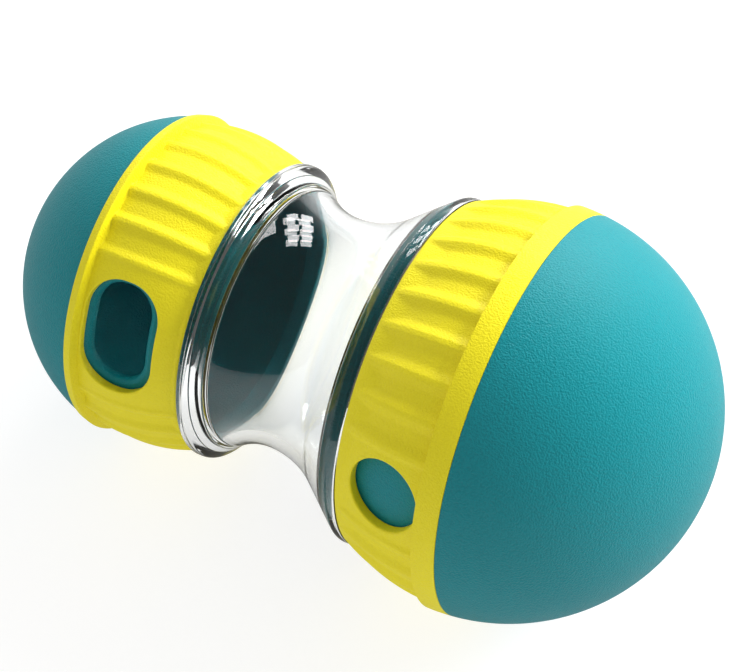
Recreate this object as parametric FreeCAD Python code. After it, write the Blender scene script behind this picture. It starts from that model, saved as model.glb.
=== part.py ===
import FreeCAD
import Part
import math
import os

# A rolling treat dispenser for dogs. A clear hourglass barrel joins two hollow ball ends of
# different size. Each ball end is a dome and a windowed sleeve, joined for good, with a ribbed
# collar that turns on the sleeve and opens or shuts its window.
# Millimetres. The origin is the centre of the waist's narrowest circle, +X runs along the roll
# axis to the large end, and +Z is up. Angles about the roll axis go from +Y towards +Z.
# Each end is modelled with its own outward direction along +X, and the small end is mirrored.

# Clear barrel
waist_radius = 25.0
barrel_wall = 2.6
rim_edge = 0.4
seat_wall = 1.0

# Large end, along the axis from the waist
large_mouth = 24.2
large_centre_from_mouth = 19.3
large_flute_length = 19.15
large_flute_ramp = 4.8
large_band_width = 5.45
# Large end, across the axis
large_ball_radius = 42.5
large_band_step = 0.0
large_crest_drop = 1.05
large_rib_height = 1.0
large_panel_height = 0.5
large_collar_wall = 1.6
large_rim_step = 0.41
large_rim_width = 1.9
large_flare_bend = 21.3
large_joint_depth = 5.0
# Large collar's ribs and window, round the axis
large_rib_count = 32
large_panel_angle = 30.8
large_rib_top_width = 1.1
large_window_angle = 157.5
large_window_from_mouth = 11.6
large_window_diameter = 15.3
large_sleeve_window_turn = 90.0

# Small end, along the axis from the waist
small_mouth = 14.2
small_centre_from_mouth = 15.0
small_flute_length = 22.0
small_flute_ramp = 1.8
small_band_width = 2.8
# Small end, across the axis
small_ball_radius = 35.3
small_band_step = 0.25
small_crest_drop = 1.2
small_rib_height = 0.8
small_panel_height = 0.5
small_collar_wall = 1.6
small_rim_step = 1.46
small_rim_width = 1.7
small_flare_bend = 14.5
small_joint_depth = 1.4
# Small collar's ribs and window, round the axis
small_rib_count = 26
small_panel_angle = 55.0
small_rib_top_width = 0.9
small_window_angle = 147.7
small_window_from_mouth = 13.65
small_window_width = 15.8
small_window_length = 23.9
small_window_corner = 7.4
small_sleeve_window_shift = 1.0

# Shared by both ends
dome_wall = 3.0
sleeve_wall = 2.4
sleeve_window_inset = 1.8
rib_lean = 60.0
rib_root = 0.6
flute_end_run = 0.4
collar_edge_land = 0.6
collar_edge_drop = 0.3

# Clearances
turning_gap = 0.3
collar_end_gap = 0.2
thread_gap = 0.5
spigot_end_gap = 0.3
joint_gap = 0.1
# How far a cutting tool runs past the face that it cuts
overrun = 5.0

ORIGIN = FreeCAD.Vector(0, 0, 0)
ROLL_AXIS = FreeCAD.Vector(1, 0, 0)
TANGENT = FreeCAD.Vector(0, 0, 1)


def profile(start, *steps):
    """A flat face in the plane of the roll axis. A step is a point, or an arc's middle and end."""
    edges = []
    here = FreeCAD.Vector(start[0], start[1], 0)
    for step in steps + (start,):
        if isinstance(step[0], tuple):
            middle = FreeCAD.Vector(step[0][0], step[0][1], 0)
            there = FreeCAD.Vector(step[1][0], step[1][1], 0)
            edges.append(Part.Arc(here, middle, there).toShape())
        else:
            there = FreeCAD.Vector(step[0], step[1], 0)
            edges.append(Part.LineSegment(here, there).toShape())
        here = there
    return Part.Face(Part.Wire(edges))


def spin(face):
    """The solid that the face sweeps in a whole turn about the roll axis."""
    return face.revolve(ORIGIN, ROLL_AXIS, 360)


def rod(radius, start, end):
    """A plain round rod on the roll axis."""
    return Part.makeCylinder(radius, end - start, FreeCAD.Vector(start, 0, 0), ROLL_AXIS)


def ball_height(radius, centre, place):
    """How far a ball's surface stands from the roll axis at a place along it."""
    return math.sqrt(radius ** 2 - (place - centre) ** 2)


def ball_point(radius, centre, angle):
    """The point of a ball's outline at an angle from its tip."""
    return (centre + radius * math.cos(angle), radius * math.sin(angle))


def ball_arc(radius, centre, start, end):
    """An arc step along a ball's surface, from one place along the axis to another."""
    first = math.acos((start - centre) / radius)
    last = math.acos((end - centre) / radius)
    via = ball_point(radius, centre, (first + last) / 2)
    return (via, (end, radius * math.sin(last)))


def ball_tip_arc(radius, centre, start):
    """An arc step along a ball's surface, from a place along the axis to the ball's tip."""
    first = math.acos((start - centre) / radius)
    via = ball_point(radius, centre, first / 2)
    return (via, (centre + radius, 0))


class BallEnd:
    """The sizes that the pieces of one end share, worked out from its driving dimensions."""

    def __init__(self, mouth, centre_from_mouth, flute_length, flute_ramp, band_width,
                 ball_radius, band_step, crest_drop, rib_height, panel_height, collar_wall,
                 rim_step, rim_width, flare_bend, joint_depth, rib_top_width, window_angle,
                 window_from_mouth):
        self.mouth = mouth
        self.centre = mouth + centre_from_mouth
        self.flute_end = mouth + flute_length
        self.flute_ramp = flute_ramp
        self.seam = self.flute_end + band_width
        self.ball_radius = ball_radius
        self.band_radius = ball_radius + band_step
        self.crest_radius = ball_radius - crest_drop
        self.floor_radius = self.crest_radius - rib_height
        self.panel_radius = self.floor_radius + panel_height
        self.rib_top_width = rib_top_width
        self.sleeve_radius = self.floor_radius - collar_wall - turning_gap
        self.spigot_radius = ball_height(self.sleeve_radius, self.centre, mouth)
        self.bore_radius = self.spigot_radius + thread_gap
        self.joint_end = self.seam + joint_depth
        self.collar_front = mouth + collar_end_gap
        self.collar_back = self.seam - collar_end_gap
        edge_height = ball_height(self.crest_radius, self.centre, self.collar_front)
        self.collar_edge_radius = edge_height - collar_edge_drop
        self.land_end = self.collar_front + collar_edge_land
        self.band_start = self.flute_end + flute_end_run
        self.rim_radius = self.collar_edge_radius + rim_step
        self.rim_foot = mouth - rim_width
        self.bend, self.turn = self.flare_form(flare_bend)
        self.bore_seat = self.flare_place(seat_wall, self.bore_radius)
        self.spigot_end = self.bore_seat + spigot_end_gap
        self.window_angle = window_angle
        self.window_place = mouth + window_from_mouth

    def flare_form(self, bend):
        """The radius of the bend that leaves the waist, and the angle at which the bend ends.

        The bend leaves the waist parallel to the axis, and a straight cone runs on from it to the
        foot of the rim. A bend too wide to leave some of that cone is drawn in to fit.
        """
        rise = self.rim_radius - waist_radius
        widest_bend = (self.rim_foot ** 2 + rise ** 2) / (2 * rise)
        bend = min(bend, 0.98 * widest_bend)
        drop = rise - bend
        turn = math.atan2(drop, self.rim_foot) - math.acos(bend / math.hypot(self.rim_foot, drop))
        return bend, turn

    def flare_points(self, depth):
        """The flare at a depth under its outer skin: the bend's middle, its end, and the mouth."""
        radius = self.bend + depth
        height = waist_radius + self.bend
        middle = (self.turn - math.pi / 2) / 2
        via = (radius * math.cos(middle), height + radius * math.sin(middle))
        bend_end = (radius * math.cos(self.turn), height + radius * math.sin(self.turn))
        rise = (self.mouth - bend_end[0]) / math.tan(-self.turn)
        return via, bend_end, (self.mouth, bend_end[1] + rise)

    def flare_place(self, depth, height):
        """Where along the axis the flare, at a depth under its skin, reaches a height."""
        _, bend_end, _ = self.flare_points(depth)
        if height > bend_end[1]:
            return bend_end[0] + (height - bend_end[1]) * math.tan(-self.turn)
        return math.sqrt((self.bend + depth) ** 2 - (waist_radius + self.bend - height) ** 2)


large_end = BallEnd(large_mouth, large_centre_from_mouth, large_flute_length, large_flute_ramp,
                    large_band_width, large_ball_radius, large_band_step, large_crest_drop,
                    large_rib_height, large_panel_height, large_collar_wall, large_rim_step,
                    large_rim_width, large_flare_bend, large_joint_depth, large_rib_top_width,
                    large_window_angle, large_window_from_mouth)
small_end = BallEnd(small_mouth, small_centre_from_mouth, small_flute_length, small_flute_ramp,
                    small_band_width, small_ball_radius, small_band_step, small_crest_drop,
                    small_rib_height, small_panel_height, small_collar_wall, small_rim_step,
                    small_rim_width, small_flare_bend, small_joint_depth, small_rib_top_width,
                    small_window_angle, small_window_from_mouth)


def mirrored(point):
    """The same point of an outline on the small end's side of the waist."""
    return (-point[0], point[1])


def make_clear_barrel():
    """The one-piece clear barrel: waist, two flares, rims, and a bore in each rim."""
    l_via, l_bend_end, _ = large_end.flare_points(0)
    s_via, s_bend_end, _ = small_end.flare_points(0)
    l_rim = large_end.rim_radius
    s_rim = small_end.rim_radius
    outside = spin(profile(
        (-small_end.mouth, 0),
        (-small_end.mouth, s_rim - rim_edge),
        (-small_end.mouth + rim_edge, s_rim),
        (-small_end.rim_foot, s_rim),
        mirrored(s_bend_end),
        (mirrored(s_via), (0, waist_radius)),
        (l_via, l_bend_end),
        (large_end.rim_foot, l_rim),
        (large_end.mouth - rim_edge, l_rim),
        (large_end.mouth, l_rim - rim_edge),
        (large_end.mouth, 0)))

    l_via, l_bend_end, l_top = large_end.flare_points(barrel_wall)
    s_via, s_bend_end, s_top = small_end.flare_points(barrel_wall)
    hollow = spin(profile(
        (-small_end.mouth, 0),
        mirrored(s_top),
        mirrored(s_bend_end),
        (mirrored(s_via), (0, waist_radius - barrel_wall)),
        (l_via, l_bend_end),
        l_top,
        (large_end.mouth, 0)))
    between_seats = rod(l_rim + s_rim, -small_end.bore_seat, large_end.bore_seat)
    hollow = hollow.common(between_seats)
    large_bore = rod(large_end.bore_radius, large_end.bore_seat, large_end.mouth + overrun)
    small_bore = rod(small_end.bore_radius, -small_end.mouth - overrun, -small_end.bore_seat)
    return outside.cut(hollow).cut(large_bore).cut(small_bore)


def sleeve_envelope(end, offset, start, stop):
    """A sleeve's outer form, made fatter or thinner by an offset: spigot, ball zone, cylinder."""
    radius = end.sleeve_radius + offset
    spigot = end.spigot_radius + offset
    zone_start = end.centre - math.sqrt(radius ** 2 - spigot ** 2)
    return spin(profile(
        (start, 0),
        (start, spigot),
        (zone_start, spigot),
        ball_arc(radius, end.centre, zone_start, end.centre),
        (stop, radius),
        (stop, 0)))


def make_sleeve(end, window):
    """The inner sleeve of an end: a screw spigot at the barrel, and a window in its ball zone."""
    outside = sleeve_envelope(end, 0, end.spigot_end, end.joint_end)
    hollow = sleeve_envelope(end, -sleeve_wall, end.spigot_end - overrun, end.joint_end + overrun)
    return outside.cut(hollow).cut(window)


def make_dome(end):
    """The outer dome of an end, with a bore at its seam that takes the sleeve's end."""
    outside = spin(profile(
        (end.seam, 0),
        (end.seam, ball_height(end.ball_radius, end.centre, end.seam)),
        ball_tip_arc(end.ball_radius, end.centre, end.seam)))
    inner_radius = end.ball_radius - dome_wall
    hollow = spin(profile(
        (end.joint_end, 0),
        (end.joint_end, ball_height(inner_radius, end.centre, end.joint_end)),
        ball_tip_arc(inner_radius, end.centre, end.joint_end)))
    bore = rod(end.sleeve_radius + joint_gap, end.seam - overrun, end.joint_end)
    return outside.cut(hollow).cut(bore)


def collar_blank(end):
    """A collar's form at the floor of its flutes, solid to the axis, with its raised band."""
    ramp_end = end.land_end + end.flute_ramp
    return spin(profile(
        (end.collar_front, 0),
        (end.collar_front, end.collar_edge_radius),
        (end.land_end, ball_height(end.crest_radius, end.centre, end.land_end)),
        (ramp_end, ball_height(end.floor_radius, end.centre, ramp_end)),
        ball_arc(end.floor_radius, end.centre, ramp_end, end.flute_end),
        (end.band_start, ball_height(end.band_radius, end.centre, end.band_start)),
        ball_arc(end.band_radius, end.centre, end.band_start, end.collar_back),
        (end.collar_back, 0)))


def make_panel(end, panel_angle):
    """The plain panel between the two ribs beside a window, a little higher than the flutes."""
    ramp_end = end.land_end + end.flute_ramp
    face = profile(
        (end.land_end, ball_height(end.floor_radius, end.centre, end.land_end) - rib_root),
        (end.land_end, ball_height(end.crest_radius, end.centre, end.land_end)),
        (ramp_end, ball_height(end.panel_radius, end.centre, ramp_end)),
        ball_arc(end.panel_radius, end.centre, ramp_end, end.band_start),
        (end.band_start, end.floor_radius - rib_root))
    face.rotate(ORIGIN, ROLL_AXIS, end.window_angle - panel_angle / 2)
    return face.revolve(ORIGIN, ROLL_AXIS, panel_angle)


def make_rib(end):
    """One rib along the ball's meridian at angle 0, with leaning sides and a flat top."""
    top = end.crest_radius
    root = end.floor_radius - rib_root
    half_top = end.rib_top_width / 2
    half_root = half_top + (top - root) * math.tan(math.radians(rib_lean))
    corners = [(root, -half_root), (root, half_root), (top, half_top), (top, -half_top)]
    points = [FreeCAD.Vector(end.centre, height, across) for height, across in corners]
    section = Part.Face(Part.makePolygon(points + points[:1]))
    # A positive turn about the tangent leans the section from the ball's equator to the mouth.
    first = math.degrees(math.asin((end.centre - end.band_start) / end.crest_radius))
    last = math.degrees(math.asin((end.centre - end.land_end) / end.crest_radius))
    centre = FreeCAD.Vector(end.centre, 0, 0)
    section.rotate(centre, TANGENT, first)
    return section.revolve(centre, TANGENT, last - first)


def make_collar(end, rib_count, panel_angle, window):
    """The turning collar of an end: ribs all round, apart from a plain panel at its window."""
    pitch = (360.0 - panel_angle) / (rib_count - 1)
    pattern_rib = make_rib(end)
    raised = [make_panel(end, panel_angle)]
    for number in range(rib_count):
        rib = pattern_rib.copy()
        rib.rotate(ORIGIN, ROLL_AXIS, end.window_angle + panel_angle / 2 + number * pitch)
        raised.append(rib)
    collar = collar_blank(end).multiFuse(raised)
    bore = sleeve_envelope(end, turning_gap, end.mouth - overrun, end.seam + overrun)
    return collar.cut(bore).cut(window)


def radial_tool(outline, end, angle):
    """A cutter with the given outline, from the roll axis out through the wall at an angle."""
    tool = outline.extrude(FreeCAD.Vector(0, end.ball_radius + overrun, 0))
    tool.translate(FreeCAD.Vector(end.window_place, 0, 0))
    tool.rotate(ORIGIN, ROLL_AXIS, angle)
    return tool


def round_outline(diameter):
    """A circle in the plane across the radial direction."""
    circle = Part.makeCircle(diameter / 2, ORIGIN, FreeCAD.Vector(0, 1, 0))
    return Part.Face(Part.Wire(circle))


def obround_outline(width, length, corner):
    """A rectangle with round corners, its length round the roll axis."""
    plate = Part.makeBox(width, 1, length, FreeCAD.Vector(-width / 2, 0, -length / 2))
    upright = [edge for edge in plate.Edges
               if abs(edge.tangentAt(edge.FirstParameter).y) > 0.99]
    plate = plate.makeFillet(corner, upright)
    faces = [face for face in plate.Faces if face.CenterOfMass.y < 0.01]
    return faces[0]


def make_large_windows():
    """The collar's round window, cut off straight at the band, and the sleeve's round window."""
    outline = round_outline(large_window_diameter)
    collar_tool = radial_tool(outline, large_end, large_end.window_angle)
    ahead_of_band = rod(large_end.ball_radius + 2 * overrun, 0, large_end.flute_end)
    inner_outline = round_outline(large_window_diameter - 2 * sleeve_window_inset)
    sleeve_angle = large_end.window_angle + large_sleeve_window_turn
    sleeve_tool = radial_tool(inner_outline, large_end, sleeve_angle)
    return collar_tool.common(ahead_of_band), sleeve_tool


def make_small_windows():
    """The small collar's long window, and the smaller one in the sleeve, nearer the dome."""
    tools = []
    for inset, shift in ((0, 0), (sleeve_window_inset, small_sleeve_window_shift)):
        width = small_window_width - 2 * inset
        corner = min(small_window_corner - inset, 0.49 * width)
        outline = obround_outline(width, small_window_length - 2 * inset, corner)
        tool = radial_tool(outline, small_end, small_end.window_angle)
        tool.translate(FreeCAD.Vector(shift, 0, 0))
        tools.append(tool)
    return tools


def export(name, shape, side=1):
    """Write one node, turned over to the small end's side of the waist where that is asked."""
    if side < 0:
        shape = shape.mirror(ORIGIN, ROLL_AXIS)
    solid = shape.Solids[0]
    if solid.Volume < 0:
        solid.reverse()
    print(name, "valid", solid.isValid(), "solids", len(shape.Solids),
          "volume", round(solid.Volume, 1))
    solid.exportStep(os.path.join("parts", name + ".step"))


def main():
    os.makedirs("parts", exist_ok=True)
    large_collar_window, large_sleeve_window = make_large_windows()
    small_collar_window, small_sleeve_window = make_small_windows()
    export("clear_barrel", make_clear_barrel())
    export("large_dome", make_dome(large_end))
    export("large_sleeve", make_sleeve(large_end, large_sleeve_window))
    export("large_collar", make_collar(large_end, large_rib_count, large_panel_angle,
                                       large_collar_window))
    export("small_dome", make_dome(small_end), side=-1)
    export("small_sleeve", make_sleeve(small_end, small_sleeve_window), side=-1)
    export("small_collar", make_collar(small_end, small_rib_count, small_panel_angle,
                                       small_collar_window), side=-1)


main()
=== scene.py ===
# %% [markdown]
# # A rolling treat dispenser
#
# The object is a dog toy the size of a hand: a clear hourglass barrel between two ball ends. Each
# ball end is a teal dome, a teal sleeve that screws into the barrel, and a yellow ribbed collar
# that turns on the sleeve and opens or shuts a window. Treats roll out of an open window.
#
# The solids were made in CAD and come in here as a frame that can't be moved. They could keep
# their own meshes and only get new materials. All seven are made again instead, because moulded
# plastic is known by its soft edges and its grain, and clear plastic by the shape of every
# surface that light passes through. Each piece sits where its solid is.

# %% Load the frame
import math

import bmesh
import bpy
import numpy as np
from mathutils import Matrix, Vector


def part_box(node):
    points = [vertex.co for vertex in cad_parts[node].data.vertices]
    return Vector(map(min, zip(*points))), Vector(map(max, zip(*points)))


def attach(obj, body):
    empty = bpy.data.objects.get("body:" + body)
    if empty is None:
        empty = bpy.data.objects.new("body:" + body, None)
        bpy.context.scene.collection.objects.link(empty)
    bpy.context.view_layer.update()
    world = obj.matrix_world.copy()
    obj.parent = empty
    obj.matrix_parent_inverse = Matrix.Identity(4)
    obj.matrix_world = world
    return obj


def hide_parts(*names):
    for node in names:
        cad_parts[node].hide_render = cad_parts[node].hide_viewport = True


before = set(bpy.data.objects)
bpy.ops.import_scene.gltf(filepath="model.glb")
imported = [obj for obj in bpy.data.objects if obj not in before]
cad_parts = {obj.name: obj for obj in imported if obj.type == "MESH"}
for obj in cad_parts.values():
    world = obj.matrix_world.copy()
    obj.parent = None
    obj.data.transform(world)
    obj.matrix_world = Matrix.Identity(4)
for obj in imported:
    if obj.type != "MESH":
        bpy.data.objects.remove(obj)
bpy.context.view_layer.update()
print("nodes in the frame:", ", ".join(sorted(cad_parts)))

# %% [markdown]
# ## Sizes
#
# The roll axis is X, and angles about it go from +Y towards +Z. Both ends have the same build, so
# one class holds the sizes of an end, with its own outward direction as +X, and a side of 1 or -1
# turns that into the real direction. What the solids can tell is read from their boxes. The rest,
# such as walls and gaps, repeats the drawing's values. All of it is in millimetres, because that
# is how a mould is drawn, and is turned into metres when a mesh is made.

# %% Sizes of the two ends
MM = 0.001
waist_radius = 25.0
barrel_wall = 2.6
dome_wall = 3.0
sleeve_wall = 2.4
# Room between dome and sleeve, sleeve and collar, spigot and bore, and spigot's end and ledge.
joint_gap = 0.1
turning_gap = 0.3
thread_gap = 0.5
seat_gap = 0.3
# A collar's front edge has this much flat before the ramps, and its rounding takes this much off.
edge_land = 0.6
edge_drop = 0.3


def reach(node, side):
    """Where a node starts and ends along the axis, outward from the waist."""
    low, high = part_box(node)
    return sorted((side * low.x / MM, side * high.x / MM))


def ball_height(radius, centre, place):
    """How far a ball's surface stands from the roll axis at a place along it."""
    return math.sqrt(max(radius ** 2 - (place - centre) ** 2, 0.0))


class BallEnd:
    """The sizes of one end, outward along its own +X."""

    def __init__(self, name, side, ball_radius, band_step, crest_drop, rib_height, panel_height,
                 rim_step, rim_width, flare_bend, flute_length):
        self.name = name
        self.side = side
        self.ball_radius = ball_radius
        self.band_radius = ball_radius + band_step
        self.crest_radius = ball_radius - crest_drop
        self.rib_height = rib_height
        self.panel_radius = self.crest_radius - rib_height + panel_height
        self.seam, self.tip = reach(name + "_dome", side)
        self.spigot_end, self.joint_end = reach(name + "_sleeve", side)
        self.collar_front, self.collar_back = reach(name + "_collar", side)
        self.mouth = reach("clear_barrel", side)[1]
        self.centre = self.tip - ball_radius
        self.sleeve_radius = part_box(name + "_sleeve")[1].y / MM
        self.spigot_radius = ball_height(self.sleeve_radius, self.centre, self.mouth)
        self.bore_radius = self.spigot_radius + thread_gap
        self.bore_seat = self.spigot_end - seat_gap
        self.flute_end = self.mouth + flute_length
        edge = ball_height(self.crest_radius, self.centre, self.collar_front)
        self.rim_radius = edge - edge_drop + rim_step
        self.rim_foot = self.mouth - rim_width
        self.bend = flare_bend
        rise = self.rim_radius - waist_radius - flare_bend
        slant = math.hypot(self.rim_foot, rise)
        self.turn = math.atan2(rise, self.rim_foot) - math.acos(flare_bend / slant)


large = BallEnd("large", 1, ball_radius=42.5, band_step=0.0, crest_drop=1.05, rib_height=1.0,
                panel_height=0.5, rim_step=0.41, rim_width=1.9, flare_bend=21.3,
                flute_length=19.15)
small = BallEnd("small", -1, ball_radius=35.3, band_step=0.25, crest_drop=1.2, rib_height=0.8,
                panel_height=0.5, rim_step=1.46, rim_width=1.7, flare_bend=14.5,
                flute_length=22.0)
for end in (large, small):
    print(end.name, "mouth %.2f seam %.2f centre %.2f tip %.2f rim radius %.2f" %
          (end.mouth, end.seam, end.centre, end.tip, end.rim_radius))

# %% [markdown]
# ## Turning a section into a moulding
#
# Every piece is round about the roll axis, so each one starts as a half section. A modifier could
# spin it, but then the threads and flutes would need modifiers of their own. Here numpy lays out
# the whole grid of points at once, and a piece may swell or shrink any of them.
#
# No moulded corner is sharp. A section is therefore given as runs from corner to corner, with the
# distance over which each corner is rounded off, and a small Bezier curve fills that distance.

# %% Sections with rounded corners
def line(start, end, pieces=1):
    """A straight run from one point to another."""
    return [(start[0] + (end[0] - start[0]) * step / pieces,
             start[1] + (end[1] - start[1]) * step / pieces) for step in range(pieces + 1)]


def ball_run(radius, centre, start, end, pieces):
    """A run along a ball's surface between two places on the axis."""
    first = math.acos(max(-1.0, min(1.0, (start - centre) / radius)))
    last = math.acos(max(-1.0, min(1.0, (end - centre) / radius)))
    angles = [first + (last - first) * step / pieces for step in range(pieces + 1)]
    return [(centre + radius * math.cos(angle), radius * math.sin(angle)) for angle in angles]


def trimmed(run, start_cut, end_cut):
    """The run without a length at its start and at its end."""
    run = np.array(run, float)
    along = np.concatenate([[0], np.cumsum(np.hypot(*np.diff(run, axis=0).T))])
    last = along[-1] - end_cut
    keep = [start_cut] + [s for s in along if start_cut + 1e-6 < s < last - 1e-6] + [last]
    return [(np.interp(s, along, run[:, 0]), np.interp(s, along, run[:, 1])) for s in keep]


def section(*runs, steps=6):
    """One outline from runs, each given as its points and the rounding of its last corner."""
    outline = []
    for number, (points, rounding) in enumerate(runs):
        outline.extend(trimmed(points, runs[number - 1][1], rounding))
        if rounding:
            after = runs[(number + 1) % len(runs)][0]
            start, corner, end = outline[-1], points[-1], trimmed(after, rounding, 0)[0]
            for step in range(1, steps):
                t = step / steps
                outline.append(tuple((1 - t) ** 2 * start[k] + 2 * t * (1 - t) * corner[k]
                                     + t ** 2 * end[k] for k in (0, 1)))
    clean = []
    for point in outline:
        if not clean or math.dist(point, clean[-1]) > 1e-4:
            clean.append(point)
    return clean


# %% From a grid of points to a mesh
def grid_object(name, places, radii, angles, side, closed=True):
    """A moulding from a grid: places and radii have a row for each outline point.

    A row whose radius is zero becomes one point on the axis.
    """
    rows, columns = radii.shape
    xs = np.broadcast_to(places, radii.shape) * side
    points = np.stack([xs, radii * np.cos(angles), radii * np.sin(angles)], axis=2) * MM
    vertices = []
    index = np.zeros((rows, columns), int)
    for row in range(rows):
        if radii[row].max() < 1e-6:
            index[row] = len(vertices)
            vertices.append(points[row, 0])
        else:
            index[row] = len(vertices) + np.arange(columns)
            vertices.extend(points[row])
    faces = []
    for row in range(rows if closed else rows - 1):
        here, there = index[row], index[(row + 1) % rows]
        for column in range(columns):
            after = (column + 1) % columns
            corners = [here[column], here[after], there[after], there[column]]
            face = [int(c) for k, c in enumerate(corners) if c != corners[k - 1]]
            if len(face) > 2:
                faces.append(face[::side])
    mesh = bpy.data.meshes.new(name)
    mesh.from_pydata([tuple(v) for v in vertices], [], faces)
    obj = bpy.data.objects.new(name, mesh)
    bpy.context.scene.collection.objects.link(obj)
    return obj


def turned(name, outline, columns, side, swell=None):
    """A moulding that is the outline swept round the axis. Swell adds to a radius by place."""
    places = np.array([p[0] for p in outline])[:, None]
    radii = np.array([p[1] for p in outline])[:, None] * np.ones((1, columns))
    angles = np.arange(columns)[None, :] * 2 * math.pi / columns
    if swell:
        radii = radii + swell(places, radii, angles)
    open_on_axis = outline[0][1] < 1e-6
    return grid_object(name, places, radii, angles, side, closed=not open_on_axis)


def face_outward(obj):
    """Join points that coincide and turn every face outward. Returns volume and open edges."""
    work = bmesh.new()
    work.from_mesh(obj.data)
    bmesh.ops.remove_doubles(work, verts=work.verts, dist=1e-6)
    bmesh.ops.dissolve_degenerate(work, edges=work.edges, dist=1e-6)
    bmesh.ops.recalc_face_normals(work, faces=work.faces)
    if work.calc_volume(signed=True) < 0:
        bmesh.ops.reverse_faces(work, faces=work.faces)
    volume = work.calc_volume(signed=True)
    open_edges = sum(1 for edge in work.edges if len(edge.link_faces) != 2)
    work.to_mesh(obj.data)
    work.free()
    return volume, open_edges


def finish_mesh(obj, sharp_angle=38):
    """Face outward, smooth the faces, and keep only real corners sharp."""
    volume, open_edges = face_outward(obj)
    obj.data.shade_smooth()
    obj.data.set_sharp_from_angle(angle=math.radians(sharp_angle))
    print(obj.name, "faces %d, volume %.2f ml, open edges %d" %
          (len(obj.data.polygons), volume * 1e6, open_edges))


def fit(obj, node, body):
    """Hide the CAD node that the finished piece stands for, and let the piece ride on its body."""
    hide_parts(node)
    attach(obj, body)


# %% [markdown]
# ## The domes
#
# A dome is a shell of teal plastic about 3 mm thick, with a step inside its edge that takes the
# sleeve. A UV sphere cut in half would do for the outside, but the edge is what shows, as a fine
# dark line beside the yellow band. So the dome is turned from a real section: outside, edge, step
# and inside. The rows are close together, because the outline against a white floor shows every
# flat.

# %% Make the domes
def make_dome(end):
    """A hollow dome with a stepped edge."""
    inner = end.ball_radius - dome_wall
    step_radius = end.sleeve_radius + joint_gap
    edge = ball_height(end.ball_radius, end.centre, end.seam)
    inner_edge = ball_height(inner, end.centre, end.joint_end)
    outline = section(
        (ball_run(end.ball_radius, end.centre, end.tip, end.seam, 72), 0.08),
        (line((end.seam, edge), (end.seam, step_radius)), 0.2),
        (line((end.seam, step_radius), (end.joint_end, step_radius), 2), 0),
        (line((end.joint_end, step_radius), (end.joint_end, inner_edge)), 0),
        (ball_run(inner, end.centre, end.joint_end, end.centre + inner, 40), 0))
    outline[0] = (outline[0][0], 0.0)
    outline[-1] = (outline[-1][0], 0.0)
    obj = turned(end.name + "_dome_shell", outline, columns=224, side=end.side)
    finish_mesh(obj)
    fit(obj, end.name + "_dome", end.name + "_cap")
    return obj


large_dome = make_dome(large)
small_dome = make_dome(small)

# %% [markdown]
# ## The screw threads
#
# Each sleeve ends in a spigot that screws into the barrel. The solids leave the thread out and
# keep a plain gap of half a millimetre. Through the clear rim the ridge shows as fine rings, so it
# is worth having. A helix could be modelled and joined on, but a thread this shallow is only a
# ripple: the radius of each point swells by a wave that moves one pitch in a whole turn. A high
# power of the wave leaves narrow ridges with flat ground between them, and they stay in the gap.

# %% A ripple that makes a thread
thread_pitch = 2.2
thread_height = 0.3
thread_power = 4
thread_fade = 0.35


def thread_ripple(places, angles, start, stop):
    """Height of a shallow thread at each point, faded out at both ends of its stretch."""
    wave = 0.5 + 0.5 * np.cos(2 * math.pi * places / thread_pitch - angles)
    inside = np.clip(np.minimum(places - start, stop - places) / thread_fade, 0, 1)
    return thread_height * wave ** thread_power * inside


# %% [markdown]
# ## Windows
#
# A window is a hole with a soft edge through a curved wall. A bevel after a boolean cut fails on
# such a wall, because the cut leaves edges of all lengths. So the cutter itself has the shape of
# the finished edge: near the wall's outer face its sides curve outward, at each point by the true
# height of the wall there, and the cut leaves the rounding behind.

# %% Window cutters
def round_points(diameter, count=120):
    """A circle about (0, 0), as points and their outward directions."""
    angles = [2 * math.pi * (step + 0.5) / count for step in range(count)]
    return [(math.cos(a) * diameter / 2, math.sin(a) * diameter / 2, math.cos(a), math.sin(a))
            for a in angles]


def obround_points(width, length, corner, arc_steps=16, flat_steps=8):
    """A rectangle with round corners about (0, 0), as points and their outward directions."""
    middles = [(along * (width / 2 - corner), across * (length / 2 - corner))
               for along, across in ((1, 1), (-1, 1), (-1, -1), (1, -1))]
    points = []
    for quarter in range(4):
        middle, after = middles[quarter], middles[(quarter + 1) % 4]
        for step in range(arc_steps + 1):
            angle = math.pi / 2 * (quarter + step / arc_steps)
            points.append((middle[0] + corner * math.cos(angle),
                           middle[1] + corner * math.sin(angle),
                           math.cos(angle), math.sin(angle)))
        first = points[-1]
        angle = math.pi / 2 * (quarter + 1)
        last = (after[0] + corner * math.cos(angle), after[1] + corner * math.sin(angle))
        for step in range(1, flat_steps):
            part = step / flat_steps
            points.append((first[0] + (last[0] - first[0]) * part,
                           first[1] + (last[1] - first[1]) * part, first[2], first[3]))
    return points


# The cutter's sides lean up to this many degrees, in this many steps, and it stands out of the
# wall by this much.
flare_angle = 76
flare_steps = 8
stand_out = 6.0


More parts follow.
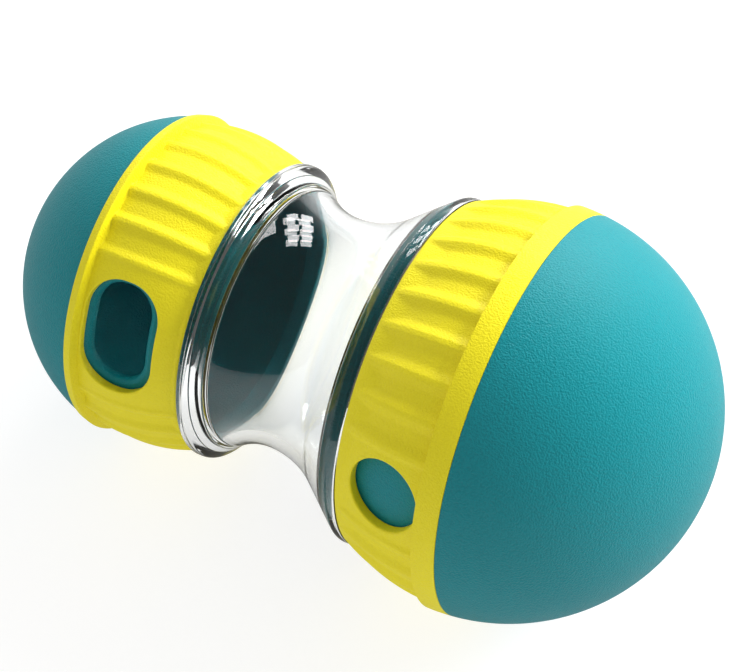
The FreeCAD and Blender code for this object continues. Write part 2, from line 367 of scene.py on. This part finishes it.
def cutter(points, place, angle, side, surface, rounding, depth, limit=None):
    """A cutter for one window, with flared sides that leave a rounded edge in a wall.

    Surface gives the height of the wall's outer face at a place and a distance sideways. The
    cutter goes to a depth under that face, and no further along the axis than the limit.
    """
    rings = [(0.0, depth)]
    for step in range(flare_steps + 1):
        lean = math.radians(flare_angle) * step / flare_steps
        rings.append((rounding * (1 - math.cos(lean)), rounding * (1 - math.sin(lean))))
    rings.append((rings[-1][0], -stand_out))
    vertices = []
    for grow, below in rings:
        for along, across, out_along, out_across in points:
            x = place + along + out_along * grow
            if limit:
                x = min(x, limit)
            sideways = across + out_across * grow
            height = surface(x, sideways) - below
            y = height * math.cos(angle) - sideways * math.sin(angle)
            z = height * math.sin(angle) + sideways * math.cos(angle)
            vertices.append((x * side * MM, y * MM, z * MM))
    count = len(points)
    faces = []
    for ring in range(len(rings) - 1):
        for k in range(count):
            after = (k + 1) % count
            low, high = ring * count, (ring + 1) * count
            faces.append((low + k, low + after, high + after, high + k))
    faces.append(tuple(range(count)))
    faces.append(tuple(range(len(vertices) - count, len(vertices))))
    mesh = bpy.data.meshes.new("window_cutter")
    mesh.from_pydata(vertices, [], faces)
    obj = bpy.data.objects.new("window_cutter", mesh)
    bpy.context.scene.collection.objects.link(obj)
    face_outward(obj)
    return obj


def cut(obj, tool):
    """Cut the tool out of the piece for good, and remove the tool."""
    face_outward(obj)
    modifier = obj.modifiers.new("window", "BOOLEAN")
    modifier.operation = "DIFFERENCE"
    modifier.solver = "EXACT"
    modifier.object = tool
    bpy.context.view_layer.update()
    result = bpy.data.meshes.new_from_object(
        obj.evaluated_get(bpy.context.evaluated_depsgraph_get()))
    obj.modifiers.clear()
    obj.data = result
    bpy.data.objects.remove(tool)


# %% [markdown]
# ## The sleeves
#
# A sleeve is the teal ring under a collar: a cylinder at the dome, a ball zone, and the threaded
# spigot. Little of it shows, only what can be seen through a window or through the clear barrel,
# but its window edge and inside are what make the open window look like a real hole.

# %% Make the sleeves
# Rows this close can carry the thread, which starts past the spigot's end and stops short of the
# barrel's mouth.
row_step = 0.12
thread_start = 0.2
thread_stop = 0.1


def sleeve_run(end, offset, start, stop):
    """A sleeve's face, made fatter or thinner by an offset: spigot, ball zone, cylinder."""
    radius = end.sleeve_radius + offset
    spigot = end.spigot_radius + offset
    zone = end.centre - math.sqrt(radius ** 2 - spigot ** 2)
    if zone > start:
        run = line((start, spigot), (zone, spigot), max(2, int((zone - start) / row_step)))
        run += ball_run(radius, end.centre, zone, end.centre, 24)[1:]
    else:
        run = ball_run(radius, end.centre, start, end.centre, 24)
    return run + line((end.centre, radius), (stop, radius), 4)[1:]


def make_sleeve(end, points, place, angle):
    """A sleeve with a threaded spigot and one window."""
    outside = sleeve_run(end, 0, end.spigot_end, end.joint_end)
    inside = sleeve_run(end, -sleeve_wall, end.spigot_end, end.joint_end)[::-1]
    outline = section(
        (outside, 0.25),
        (line(outside[-1], inside[0]), 0.25),
        (inside, 0.5),
        (line(inside[-1], outside[0]), 0.25))

    def thread(places, radii, angles):
        outer_face = radii > end.spigot_radius - 0.05
        return outer_face * thread_ripple(places, angles, end.spigot_end + thread_start,
                                          end.mouth - thread_stop)

    obj = turned(end.name + "_sleeve_shell", outline, columns=288, side=end.side, swell=thread)

    def surface(x, sideways):
        return math.sqrt(end.sleeve_radius ** 2 - sideways ** 2 - min(x - end.centre, 0) ** 2)

    tool = cutter(points, place, angle, end.side, surface, rounding=1.6, depth=8.0)
    cut(obj, tool)
    finish_mesh(obj)
    fit(obj, end.name + "_sleeve", end.name + "_cap")
    return obj


large_window_angle = math.radians(157.5)
large_window_place = large.mouth + 11.6
small_window_angle = math.radians(147.7)
small_window_place = small.mouth + 13.65
small_sleeve_window_shift = 1.0
large_sleeve = make_sleeve(large, round_points(diameter=11.7), large_window_place,
                           large_window_angle + math.pi / 2)
small_sleeve = make_sleeve(small, obround_points(width=12.2, length=20.3, corner=5.6),
                           small_window_place + small_sleeve_window_shift, small_window_angle)

# %% [markdown]
# ## The ribbed collars
#
# A collar is a soft yellow ring with pockets pressed into it all round, and what is left between
# them are the ribs that fingers grip. Each pocket has a flat floor, sloping sides, a ramp at the
# clear barrel and a short steep end at the plain band. Ribs could be modelled one by one and
# joined, but their mitred corners would need care. It is easier to see a pocket as the lowest of
# several planes: floor, two sides, ramp and end. The least depth among them gives the pocket with
# all its mitres, and a soft minimum in place of a hard one rounds them as a mould does.

# %% How deep a collar's face lies
pocket_softness = 0.05
band_softness = 0.06


def soft_least(values, softness):
    """The least of several values, eased where two of them meet."""
    total = sum(np.exp(-np.clip(value, -9, 9) / softness) for value in values)
    return -softness * np.log(total)


def soft_positive(values, softness):
    """The values where they are above zero and zero elsewhere, eased where the two meet."""
    return np.log1p(np.exp(np.clip(values / softness, -40, 40))) * softness


def face_depth(end, places, radii, angles, ribs, panel_angle, crest, wall_run, ramp_run, end_run):
    """How deep the collar's face lies under the ball at each point."""
    gaps = np.abs((angles[..., None] - ribs + math.pi) % (2 * math.pi) - math.pi).min(axis=-1)
    window = (ribs[0] - panel_angle / 2 - angles + math.pi) % (2 * math.pi) - math.pi
    # One step along the axis is a longer step along the sloping face of the ball.
    lean = end.ball_radius / radii
    floor = end.rib_height - (np.abs(window) < panel_angle / 2) * (
        end.panel_radius - end.crest_radius + end.rib_height)
    wall = (gaps * radii - crest / 2) * end.rib_height / wall_run
    ramp = (places - end.collar_front - edge_land) * lean * end.rib_height / ramp_run
    pocket = soft_positive(soft_least([floor, wall, ramp], pocket_softness), pocket_softness)
    drop = end.ball_radius - end.crest_radius
    band = end.ball_radius - end.band_radius
    stop = (end.flute_end + end_run - places) * lean * (drop + end.rib_height - band) / end_run
    step = soft_positive(stop, band_softness)
    return soft_least([drop - band + pocket, step], band_softness) + band


def rib_columns(ribs, radius, crest, wall_run, floor_step=0.9):
    """Angles for the columns of a collar's grid, closest together on the walls of the ribs."""
    # Half a rib from its middle outward: first its crest, then its wall and the floor beside it.
    across = [crest * part for part in (0, 0.25, 0.43, 0.55)]
    across += [crest / 2 + wall_run * part for part in (0.28, 0.52, 0.78, 1.04, 1.35)]
    across = np.array(across) / radius
    angles = []
    for here, there in zip(ribs, np.append(ribs[1:], ribs[0] + 2 * math.pi)):
        first, last = here + across[-1], there - across[-1]
        pieces = max(2, round((last - first) * radius / floor_step))
        angles.extend(here + across)
        angles.extend(first + (last - first) * step / pieces for step in range(1, pieces))
        angles.extend((there - across[1:])[::-1])
    return np.array(angles)[None, :]


# %% Make the collars
# The band's edge comes this much closer to the dome than in the drawing.
band_reach = 0.12


def make_collar(end, window_angle, points, place, rib_count, panel_angle, crest, wall_run,
                ramp_run, end_run, limit=None):
    """A collar with ribs all round, apart from the panel that holds its window.

    Crest is the width of a rib's top. The runs are how far a slope takes to reach its full depth:
    wall across the ribs, ramp at the barrel, and end at the band.
    """
    panel_angle = math.radians(panel_angle)
    pitch = (2 * math.pi - panel_angle) / (rib_count - 1)
    ribs = window_angle + panel_angle / 2 + pitch * np.arange(rib_count)
    angles = rib_columns(ribs, end.crest_radius, crest, wall_run)

    front = end.collar_front
    back = end.collar_back + band_reach
    band_start = end.flute_end + end_run
    inside = sleeve_run(end, turning_gap, front, back)[::-1]
    # The rows are closest on the ramp and at the step to the band.
    stretches = ((front, front + ramp_run + 1.2, 30),
                 (front + ramp_run + 1.7, end.flute_end - 0.8, 18),
                 (end.flute_end - 0.6, band_start + 0.6, 22),
                 (band_start + 0.9, back, 8))
    rows = [x for first, last, count in stretches for x in np.linspace(first, last, count)]

    def plain_radius(x):
        return np.where(x < band_start, end.crest_radius, end.band_radius)

    outside = [(x, ball_height(float(plain_radius(x)), end.centre, x)) for x in rows]
    outline = section(
        (outside, 0.1),
        (line(outside[-1], inside[0]), 0.2),
        (inside, 0.3),
        (line(inside[-1], outside[0]), 0.35))
    places = np.array([p[0] for p in outline])[:, None]
    plain = np.array([p[1] for p in outline])[:, None] * np.ones_like(angles)
    depth = face_depth(end, places, plain, angles, ribs, panel_angle, crest, wall_run, ramp_run,
                       end_run)
    flat = np.sqrt(np.maximum(plain_radius(places) ** 2 - (places - end.centre) ** 2, 0))
    shaped = np.sqrt(np.maximum((end.ball_radius - depth) ** 2 - (places - end.centre) ** 2, 1))
    # Only the outer face is shaped. It is where the plain outline lies on its ball.
    radii = np.where(np.abs(plain - flat) < 0.02, shaped, plain)
    obj = grid_object(end.name + "_collar_shell", places, radii, angles, end.side)

    def surface(x, sideways):
        return math.sqrt(end.panel_radius ** 2 - sideways ** 2 - (x - end.centre) ** 2)

    tool = cutter(points, place, window_angle, end.side, surface, rounding=0.5, depth=9.0,
                  limit=limit)
    cut(obj, tool)
    finish_mesh(obj, sharp_angle=50)
    fit(obj, end.name + "_collar", end.name + "_ring")
    return obj


large_collar = make_collar(large, large_window_angle, round_points(diameter=15.3),
                           large_window_place, rib_count=32, panel_angle=30.8, crest=1.1,
                           wall_run=1.8, ramp_run=4.8, end_run=0.5, limit=large.flute_end)
small_collar = make_collar(small, small_window_angle,
                           obround_points(width=15.8, length=23.9, corner=7.4),
                           small_window_place, rib_count=26, panel_angle=55.0, crest=0.9,
                           wall_run=1.5, ramp_run=1.8, end_run=1.0)

# %% [markdown]
# ## The clear barrel
#
# The barrel is one clear moulding. Rays pass through four surfaces of it, so its section has to be
# right everywhere: the curve of the waist, the cones, the rims, the wall's thickness, and the bore
# with its ledge. Light bends most where the surface turns, so the corners are rounded over real
# distances and the rows are closest there.

# %% Make the barrel
def flare_run(end, depth, stop, pieces=40):
    """A flare from the waist out to a place on its cone, at a depth under its outer skin."""
    radius = end.bend + depth
    height = waist_radius + end.bend
    angles = [-math.pi / 2 + (end.turn + math.pi / 2) * step / pieces
              for step in range(pieces + 1)]
    run = [(radius * math.cos(a), height + radius * math.sin(a)) for a in angles]
    run = [point for point in run if point[0] < stop - 0.05]
    if len(run) == pieces + 1:
        rise = (stop - run[-1][0]) / math.tan(-end.turn)
        run += line(run[-1], (stop, run[-1][1] + rise), 12)[1:]
    else:
        run.append((stop, height - math.sqrt(radius ** 2 - stop ** 2)))
    return run


def half_barrel(end):
    """The runs of one half of the barrel's section, from the waist outward and back."""
    outer = flare_run(end, 0, end.rim_foot)
    outer[-1] = (end.rim_foot, end.rim_radius)
    inner = flare_run(end, barrel_wall, end.bore_seat)
    bore_pieces = int((end.mouth - end.bore_seat) / row_step)
    return outer, [
        (line((end.rim_foot, end.rim_radius), (end.mouth, end.rim_radius), 6), 0.45),
        (line((end.mouth, end.rim_radius), (end.mouth, end.bore_radius), 2), 0.3),
        (line((end.mouth, end.bore_radius), (end.bore_seat, end.bore_radius), bore_pieces), 0.3),
        (line((end.bore_seat, end.bore_radius), inner[-1], 2), 0.4)], inner[::-1]


def other_side(points):
    """A run of the large end's side as it is on the small end's side, walked the other way."""
    return [(-x, r) for x, r in points][::-1]


def make_barrel():
    """The clear barrel with its two bores."""
    l_outer, l_rim, l_inner = half_barrel(large)
    s_outer, s_rim, s_inner = half_barrel(small)
    back_runs = [other_side(points) for points, _ in reversed(s_rim)]
    back_roundings = [s_rim[2][1], s_rim[1][1], s_rim[0][1], 0.5]
    runs = [(l_outer, 0.5)] + l_rim
    runs += [(l_inner + other_side(s_inner)[1:], 0.4)]
    runs += list(zip(back_runs, back_roundings))
    runs += [(other_side(s_outer), 0)]
    outline = section(*runs, steps=8)

    obj = turned("clear_barrel_shell", outline, columns=288, side=1)
    finish_mesh(obj)
    fit(obj, "clear_barrel", "barrel")
    return obj


clear_barrel = make_barrel()

# %% [markdown]
# ## Mould grain
#
# Teal and yellow plastic share one finish: the mould was eroded by sparks, which leaves a fine
# pebble like the skin of an orange, and it takes the shine off. A picture of leather could be
# wrapped on, but it would stretch at the poles. Noise in the object's own space has no seams. The
# grain is a node group, built once, with its size and unevenness as inputs. Each plastic then
# chooses how strongly the grain raises its surface.

# %% The grain as a node group
def grain_group():
    """A node group that gives the grain's height and a mask of its valleys, where the plastics
    paint shade.
    """
    group = bpy.data.node_groups.new("mould_grain", "ShaderNodeTree")
    for name, value in (("Pebble Size", 0.0008), ("Unevenness", 0.5)):
        socket = group.interface.new_socket(name, in_out="INPUT", socket_type="NodeSocketFloat")
        socket.default_value = value
    for name in ("Height", "Valley Shade"):
        group.interface.new_socket(name, in_out="OUTPUT", socket_type="NodeSocketFloat")
    nodes, links = group.nodes, group.links
    inputs = nodes.new("NodeGroupInput")
    outputs = nodes.new("NodeGroupOutput")
    place = nodes.new("ShaderNodeTexCoord")
    density = nodes.new("ShaderNodeMath")
    density.operation = "DIVIDE"
    density.inputs[0].default_value = 1.0
    pebbles = nodes.new("ShaderNodeTexNoise")
    pebbles.inputs["Detail"].default_value = 2.0
    pebbles.inputs["Roughness"].default_value = 0.45
    patches = nodes.new("ShaderNodeTexNoise")
    patches.inputs["Scale"].default_value = 90.0
    swing = nodes.new("ShaderNodeMath")
    swing.operation = "MULTIPLY"
    height = nodes.new("ShaderNodeMath")
    height.operation = "ADD"
    # The valley mask marks the grain's hollows, where the plastics paint shade as a darker colour.
    valley_shade_mask = nodes.new("ShaderNodeMapRange")
    valley_shade_mask.inputs["From Min"].default_value = 0.55
    valley_shade_mask.inputs["From Max"].default_value = 0.35
    links.new(inputs.outputs["Pebble Size"], density.inputs[1])
    links.new(place.outputs["Object"], pebbles.inputs["Vector"])
    links.new(place.outputs["Object"], patches.inputs["Vector"])
    links.new(density.outputs[0], pebbles.inputs["Scale"])
    links.new(patches.outputs["Fac"], swing.inputs[0])
    links.new(inputs.outputs["Unevenness"], swing.inputs[1])
    links.new(pebbles.outputs["Fac"], height.inputs[0])
    links.new(swing.outputs[0], height.inputs[1])
    links.new(pebbles.outputs["Fac"], valley_shade_mask.inputs["Value"])
    links.new(height.outputs[0], outputs.inputs["Height"])
    links.new(valley_shade_mask.outputs["Result"], outputs.inputs["Valley Shade"])
    return group


mould_grain = grain_group()
print("node group", mould_grain.name, "made")

# %% [markdown]
# ## Teal and yellow plastic
#
# Both are soft polypropylene with the colour all the way through. The shine is broad, from the
# grain. Shade is painted into the grain's valleys as a slightly darker colour. The materials keep
# their own shader, and take only height and mask from the group.

# %% Coloured plastics
def coloured_plastic(name, colour, shaded_valley_colour, roughness, pebble, strength, distance):
    """A grained plastic, with shade painted into the valleys of the grain as a darker colour."""
    material = bpy.data.materials.new(name)
    material.use_nodes = True
    nodes, links = material.node_tree.nodes, material.node_tree.links
    shader = nodes["Principled BSDF"]
    shader.inputs["Roughness"].default_value = roughness
    shader.inputs["IOR"].default_value = 1.49
    shader.inputs["Specular IOR Level"].default_value = 0.3
    grain = nodes.new("ShaderNodeGroup")
    grain.node_tree = mould_grain
    grain.inputs["Pebble Size"].default_value = pebble
    # Painted shade: the grain's valleys take the second, darker colour.
    valley_shade_mix = nodes.new("ShaderNodeMix")
    valley_shade_mix.data_type = "RGBA"
    valley_shade_mix.inputs["A"].default_value = colour
    valley_shade_mix.inputs["B"].default_value = shaded_valley_colour
    bump = nodes.new("ShaderNodeBump")
    bump.inputs["Strength"].default_value = strength
    bump.inputs["Distance"].default_value = distance
    links.new(grain.outputs["Valley Shade"], valley_shade_mix.inputs["Factor"])
    links.new(valley_shade_mix.outputs["Result"], shader.inputs["Base Color"])
    links.new(grain.outputs["Height"], bump.inputs["Height"])
    links.new(bump.outputs["Normal"], shader.inputs["Normal"])
    return material


# Each plastic's second colour is painted shade for the valleys of its grain.
teal_plastic = coloured_plastic(
    "teal_plastic", colour=(0.005, 0.242, 0.276, 1), shaded_valley_colour=(0.004, 0.215, 0.248, 1),
    roughness=0.42, pebble=0.00038, strength=1.0, distance=0.0002)
yellow_plastic = coloured_plastic(
    "yellow_plastic", colour=(0.87, 0.76, 0.012, 1), shaded_valley_colour=(0.84, 0.725, 0.01, 1),
    roughness=0.45, pebble=0.00038, strength=0.8, distance=0.0002)
for obj in (large_dome, small_dome, large_sleeve, small_sleeve):
    obj.data.materials.clear()
    obj.data.materials.append(teal_plastic)
for obj in (large_collar, small_collar):
    obj.data.materials.clear()
    obj.data.materials.append(yellow_plastic)
print("teal and yellow plastic are on six pieces")

# %% [markdown]
# ## Clear plastic
#
# The barrel is a polished clear copolyester. A see-through mix of shaders would leave out the
# bending of light, which is what makes the rims read as thick. A Principled shader with full
# transmission and the real refractive index gives the dark and bright rings by itself.

# %% Clear plastic
clear_plastic = bpy.data.materials.new("clear_plastic")
clear_plastic.use_nodes = True
clear_shader = clear_plastic.node_tree.nodes["Principled BSDF"]
clear_shader.inputs["Base Color"].default_value = (0.97, 0.985, 0.985, 1)
clear_shader.inputs["Roughness"].default_value = 0.015
clear_shader.inputs["IOR"].default_value = 1.53
clear_shader.inputs["Transmission Weight"].default_value = 1.0
clear_barrel.data.materials.clear()
clear_barrel.data.materials.append(clear_plastic)
print("clear plastic is on", clear_barrel.name)

# %% [markdown]
# ## Floor
#
# The toy lies on a pale floor that touches both balls, so the floor leans 5.7 degrees in the
# toy's own frame. The photograph's ground is plain white. More light would burn out the yellow,
# so the floor glows a little instead, and less in what the toy mirrors, which keeps the undersides
# of the domes deep. What shows through the clear barrel keeps the full glow. The lit part of the
# floor still darkens under the toy, and that is the shadow.

# %% Make the floor
floor_normal = Vector((0.09904, 0.0, 0.99508)).normalized()
floor_depth = 38.19 * MM
floor_radius = 2.5


def make_floor(radius, rings=3, columns=64):
    """A round floor that touches both balls."""
    work = bmesh.new()
    across = floor_normal.orthogonal().normalized()
    beside = floor_normal.cross(across)
    middle = work.verts.new(-floor_normal * floor_depth)
    previous = None
    for ring in range(1, rings + 1):
        size = radius * (ring / rings) ** 2
        current = []
        for column in range(columns):
            angle = 2 * math.pi * column / columns
            outward = math.cos(angle) * across + math.sin(angle) * beside
            current.append(work.verts.new(-floor_normal * floor_depth + size * outward))
        for column in range(columns):
            after = (column + 1) % columns
            if previous is None:
                work.faces.new((middle, current[column], current[after]))
            else:
                work.faces.new((previous[column], current[column], current[after],
                                previous[after]))
        previous = current
    mesh = bpy.data.meshes.new("floor")
    work.to_mesh(mesh)
    work.free()
    obj = bpy.data.objects.new("floor", mesh)
    bpy.context.scene.collection.objects.link(obj)
    return obj


floor = make_floor(floor_radius)
print("floor radius %.1f m, %.1f mm under the waist" % (floor_radius, floor_depth / MM))

# %% Paint the floor
floor_glow = 0.8
mirrored_glow = 0.1
floor_paint = bpy.data.materials.new("floor_paint")
floor_paint.use_nodes = True
nodes, links = floor_paint.node_tree.nodes, floor_paint.node_tree.links
floor_shader = nodes["Principled BSDF"]
floor_shader.inputs["Base Color"].default_value = (0.30, 0.30, 0.30, 1)
floor_shader.inputs["Roughness"].default_value = 0.9
floor_shader.inputs["Specular IOR Level"].default_value = 0.1
floor_shader.inputs["Emission Color"].default_value = (1, 1, 1, 1)
path = nodes.new("ShaderNodeLightPath")
# A ray that came through the barrel counts as glossy too, so only glossy rays that didn't are
# taken as mirrored.
mirrored = nodes.new("ShaderNodeMath")
mirrored.operation = "SUBTRACT"
mirrored.use_clamp = True
glow = nodes.new("ShaderNodeMath")
glow.operation = "MULTIPLY_ADD"
glow.inputs[1].default_value = mirrored_glow - floor_glow
glow.inputs[2].default_value = floor_glow
links.new(path.outputs["Is Glossy Ray"], mirrored.inputs[0])
links.new(path.outputs["Is Transmission Ray"], mirrored.inputs[1])
links.new(mirrored.outputs[0], glow.inputs[0])
links.new(glow.outputs[0], floor_shader.inputs["Emission Strength"])
floor.data.materials.append(floor_paint)
print("the floor glows at", floor_glow)

# %% [markdown]
# ## Light
#
# The photograph has the light of a white studio: bright from above and from the right, brighter
# still behind the toy, and darkest towards the camera. One lamp would give hard shadows in the
# flutes. Here one soft lamp stands on the right, and six panes above make the window that the
# barrel mirrors. The lamp on the right isn't mirrored, as the photograph shows only the window.

# %% Lamps
def soft_lamp(name, middle, spot, across, width, height, power):
    """An area lamp at a spot, with its width along a given direction.

    Its face is square to the line from the toy to a middle point, so that lamps with the same
    middle point lie in one plane.
    """
    data = bpy.data.lights.new(name, "AREA")
    data.shape = "RECTANGLE"
    data.size = width
    data.size_y = height
    data.energy = power
    obj = bpy.data.objects.new(name, data)
    bpy.context.scene.collection.objects.link(obj)
    away = middle.normalized()
    across = (across - across.dot(away) * away).normalized()
    turn = Matrix((across, away.cross(across), away)).transposed()
    obj.matrix_world = Matrix.Translation(spot) @ turn.to_4x4()
    return obj


right_middle = Vector((0.553, 0.482, 0.357))
lamp_right = soft_lamp("lamp_right", right_middle, right_middle, across=Vector((0, 0, 1)),
                       width=0.4, height=0.4, power=7.9)
lamp_right.visible_glossy = False

window_middle = Vector((0.050, 0.690, 0.436))
window_across = Vector((-0.871, 0.299, -0.394))
window_up = Vector((-0.502, -0.446, 0.742))
pane_step_across = 0.235
pane_step_up = 0.17
for column in (-0.5, 0.5):
    for row in (-1, 0, 1):
        spot = (window_middle + pane_step_across * column * window_across
                + pane_step_up * row * window_up)
        soft_lamp("lamp_window", window_middle, spot, window_across,
                  width=0.185, height=0.105, power=0.7)
print("lamps", len(bpy.data.lights))

# %% [markdown]
# ## Surroundings
#
# A studio's walls could be built, but a world that gets brighter from front to back does the same
# with no edges. It fades in two ways. The domes and collars are lit by a gentle one. What they
# and the barrel mirror comes from a steeper one, which leaves their fronts deep and gives them
# bright rims. What the barrel passes on fades as steeply, which draws the dark lines in its own
# rims. The camera itself sees plain white.

# %% World
world = bpy.data.worlds.new("studio")
bpy.context.scene.world = world
world.use_nodes = True
nodes, links = world.node_tree.nodes, world.node_tree.links


def fade(value, start, stop):
    """A smooth rise from 0 to 1 while the value goes from start to stop."""
    node = nodes.new("ShaderNodeMapRange")
    node.interpolation_type = "SMOOTHSTEP"
    node.inputs["From Min"].default_value = start
    node.inputs["From Max"].default_value = stop
    links.new(value, node.inputs["Value"])
    return node.outputs["Result"]


def mix(factor, first, second):
    """A mix from one input to another, each a grey level or the output of another node."""
    node = nodes.new("ShaderNodeMix")
    node.data_type = "RGBA"
    links.new(factor, node.inputs["Factor"])
    for name, value in (("A", first), ("B", second)):
        if isinstance(value, float):
            node.inputs[name].default_value = (value, value, value, 1)
        else:
            links.new(value, node.inputs[name])
    return node.outputs["Result"]


towards_camera = (0.336, -0.478, 0.812)
direction = nodes.new("ShaderNodeTexCoord")
facing = nodes.new("ShaderNodeVectorMath")
facing.operation = "DOT_PRODUCT"
facing.inputs[1].default_value = towards_camera
links.new(direction.outputs["Generated"], facing.inputs[0])
gentle = fade(facing.outputs["Value"], start=-0.3, stop=0.6)
steep = fade(facing.outputs["Value"], start=-0.95, stop=-0.15)
lighting = mix(gentle, 1.4, 0.52)
mirrored = mix(steep, 1.8, 0.08)
passed_on = mix(steep, 1.0, 0.1)
path = nodes.new("ShaderNodeLightPath")
# Rays that came through the barrel are glossy as well, so their mix comes after the glossy one.
colour = mix(path.outputs["Is Glossy Ray"], lighting, mirrored)
colour = mix(path.outputs["Is Transmission Ray"], colour, passed_on)
colour = mix(path.outputs["Is Camera Ray"], colour, 1.0)
surround = nodes["Background"]
surround.inputs["Strength"].default_value = 1.0
links.new(colour, surround.inputs["Color"])
print("world", world.name, "with", len(nodes), "nodes")

# %% [markdown]
# ## Camera
#
# The photograph was taken with a long lens from above the large end. The camera's place was
# worked out from the outlines of the two balls and the circles of the rims.

# %% Camera
camera_data = bpy.data.cameras.new("camera")
camera_data.lens = 123.71
camera_data.sensor_width = 36.0
camera = bpy.data.objects.new("camera", camera_data)
bpy.context.scene.collection.objects.link(camera)
camera.location = (0.18154, -0.24095, 0.41566)
camera.rotation_euler = tuple(math.radians(a) for a in (35.428, 5.022, 28.092))
bpy.context.scene.camera = camera
bpy.context.scene.view_settings.view_transform = "Standard"
print("camera distance %.0f mm" % (camera.location.length / MM))
